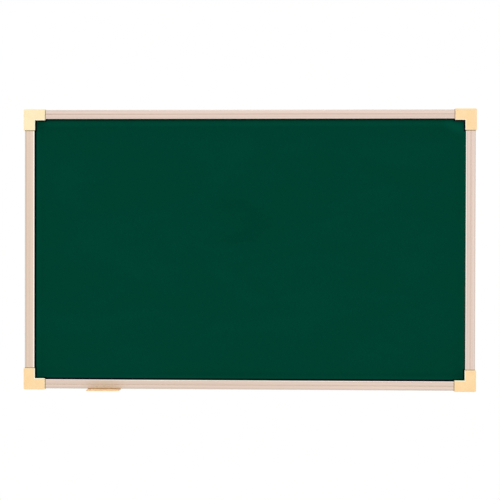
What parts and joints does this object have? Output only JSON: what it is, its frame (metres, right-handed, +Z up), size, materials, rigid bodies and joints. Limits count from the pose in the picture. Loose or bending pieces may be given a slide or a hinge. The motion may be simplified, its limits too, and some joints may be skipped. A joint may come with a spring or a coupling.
{
  "type": "school chalkboard",
  "caption": "Wall-hung chalkboard: green coated steel panel in an extruded aluminium frame with plastic corner caps, sliding wall hooks and a sliding chalk ledge.",
  "frame": {"origin": "middle of the top rail's rear face, which lies against the wall", "axes": "+X to the viewer's right, +Y back into the wall, +Z up"},
  "size_m": [0.8052, 0.036, 0.5015],
  "materials": {
    "green_coating": "matt green chalk coating",
    "core_board": "raw edge of a pressed paper core",
    "galvanised_steel": "galvanised",
    "anodised_aluminium": "satin champagne anodised",
    "cap_plastic": "moulded cream, satin",
    "zinc_plated_steel": "zinc plated"
  },
  "bodies": {
    "board": {"writing_sheet": "green_coating", "core_board": "core_board", "back_sheet": "galvanised_steel", "left_rail": "anodised_aluminium", "top_rail": "anodised_aluminium", "right_rail": "anodised_aluminium", "bottom_rail": "anodised_aluminium", "top_left_cap": "cap_plastic", "top_right_cap": "cap_plastic", "bottom_right_cap": "cap_plastic", "bottom_left_cap": "cap_plastic", "top_left_screw_1": "zinc_plated_steel", "top_left_screw_2": "zinc_plated_steel", "top_right_screw_1": "zinc_plated_steel", "top_right_screw_2": "zinc_plated_steel", "bottom_right_screw_1": "zinc_plated_steel", "bottom_right_screw_2": "zinc_plated_steel", "bottom_left_screw_1": "zinc_plated_steel", "bottom_left_screw_2": "zinc_plated_steel"},
    "left_hook": {"left_wall_hook": "zinc_plated_steel"},
    "right_hook": {"right_wall_hook": "zinc_plated_steel"},
    "ledge": {"chalk_ledge": "cap_plastic"}
  },
  "joints": [
    {"name": "ledge_slide", "type": "slide", "parent": "board", "child": "ledge", "axis": [1, 0, 0], "range_m": [-0.076, 0.593]},
    {"name": "left_hook_slide", "type": "slide", "parent": "board", "child": "left_hook", "axis": [1, 0, 0], "range_m": [-0.115, 0.23]},
    {"name": "right_hook_slide", "type": "slide", "parent": "board", "child": "right_hook", "axis": [1, 0, 0], "range_m": [-0.23, 0.115]}
  ]
}
